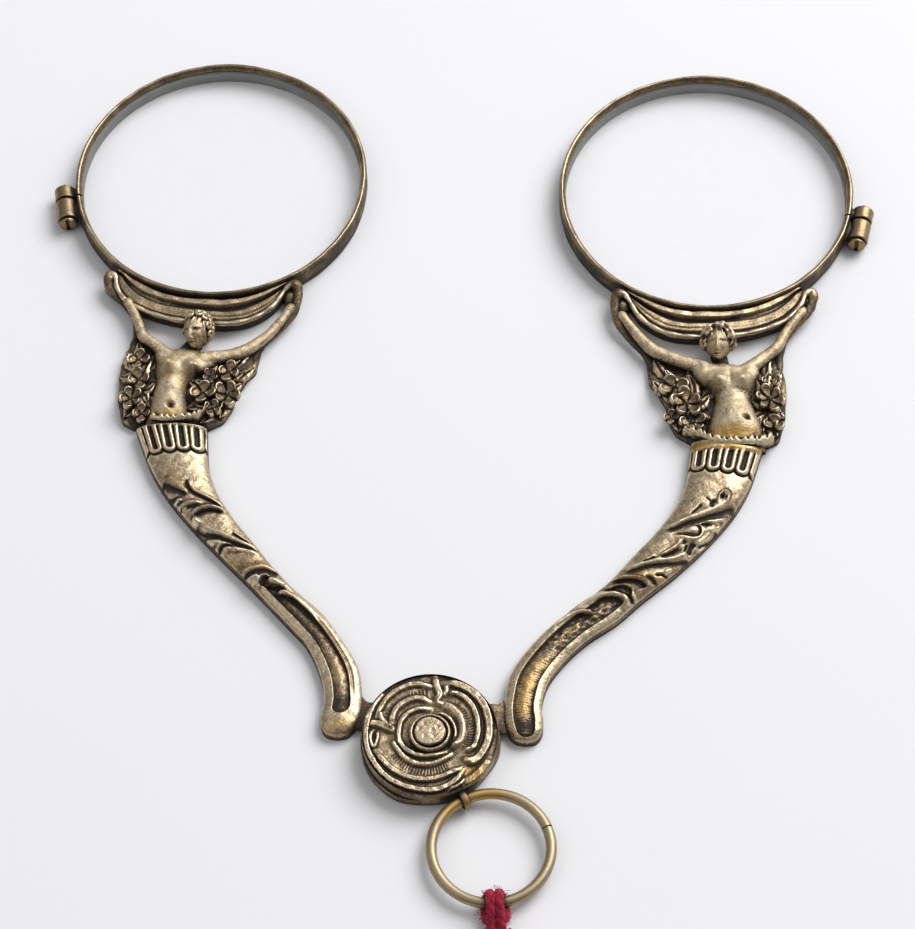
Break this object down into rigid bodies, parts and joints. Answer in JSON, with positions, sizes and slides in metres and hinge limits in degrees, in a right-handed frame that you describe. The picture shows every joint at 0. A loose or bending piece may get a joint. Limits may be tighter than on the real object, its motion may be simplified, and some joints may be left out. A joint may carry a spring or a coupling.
{
  "type": "scissors spectacles",
  "caption": "Hand-held spectacles: round lenses in split rims on caryatid arms that turn on a pivot rivet, with a suspension ring and a coiled neck cord.",
  "frame": {"origin": "on the pivot axis at the back plane, in the middle of the rivet's flush tail", "axes": "+Z out of the decorated front along the pivot axis, +Y up the middle between the rims, +X towards the right arm"},
  "size_m": [0.1116, 0.1583, 0.0078],
  "materials": {
    "silver_gilt": "worn silver-gilt casting with dark patina in its recesses",
    "gilt_rim": "drawn gilt band, bright on its edge and brown on its wall",
    "gilt_wire": "smooth gilt wire, lightly worn",
    "dark_screw": "tarnished screw",
    "lens_glass": "clear ground glass",
    "wool_cord": "crimson twisted wool yarn"
  },
  "bodies": {
    "left_arm": {"left_rim": "gilt_rim", "left_lens": "lens_glass", "left_upper_barrel": "gilt_rim", "left_lower_barrel": "gilt_rim", "left_closing_screw": "dark_screw", "left_stem": "silver_gilt", "left_caryatid": "silver_gilt", "left_swag": "silver_gilt", "left_inner_spray": "silver_gilt", "left_outer_spray": "silver_gilt", "lower_disc": "silver_gilt", "pivot_rivet": "silver_gilt", "ring_lug": "silver_gilt", "cord_strand_out": "wool_cord", "cord_coil": "wool_cord", "cord_strand_back": "wool_cord", "coil_tie": "wool_cord"},
    "right_arm": {"right_rim": "gilt_rim", "right_lens": "lens_glass", "right_upper_barrel": "gilt_rim", "right_lower_barrel": "gilt_rim", "right_closing_screw": "dark_screw", "right_stem": "silver_gilt", "right_caryatid": "silver_gilt", "right_swag": "silver_gilt", "right_inner_spray": "silver_gilt", "right_outer_spray": "silver_gilt", "upper_disc": "silver_gilt", "rivet_collar": "silver_gilt"},
    "ring": {"suspension_ring": "gilt_wire", "cord_hitch": "wool_cord"}
  },
  "joints": [
    {"name": "arm_pivot", "type": "hinge", "parent": "left_arm", "child": "right_arm", "pos_m": [0, 0, 0], "axis": [0, 0, 1], "range_deg": [-17, 17]},
    {"name": "ring_swing", "type": "hinge", "parent": "left_arm", "child": "ring", "pos_m": [0.00447, -0.00787, 0.0016], "axis": [-0.8695, -0.4939, 0], "range_deg": [-90, 100]}
  ]
}
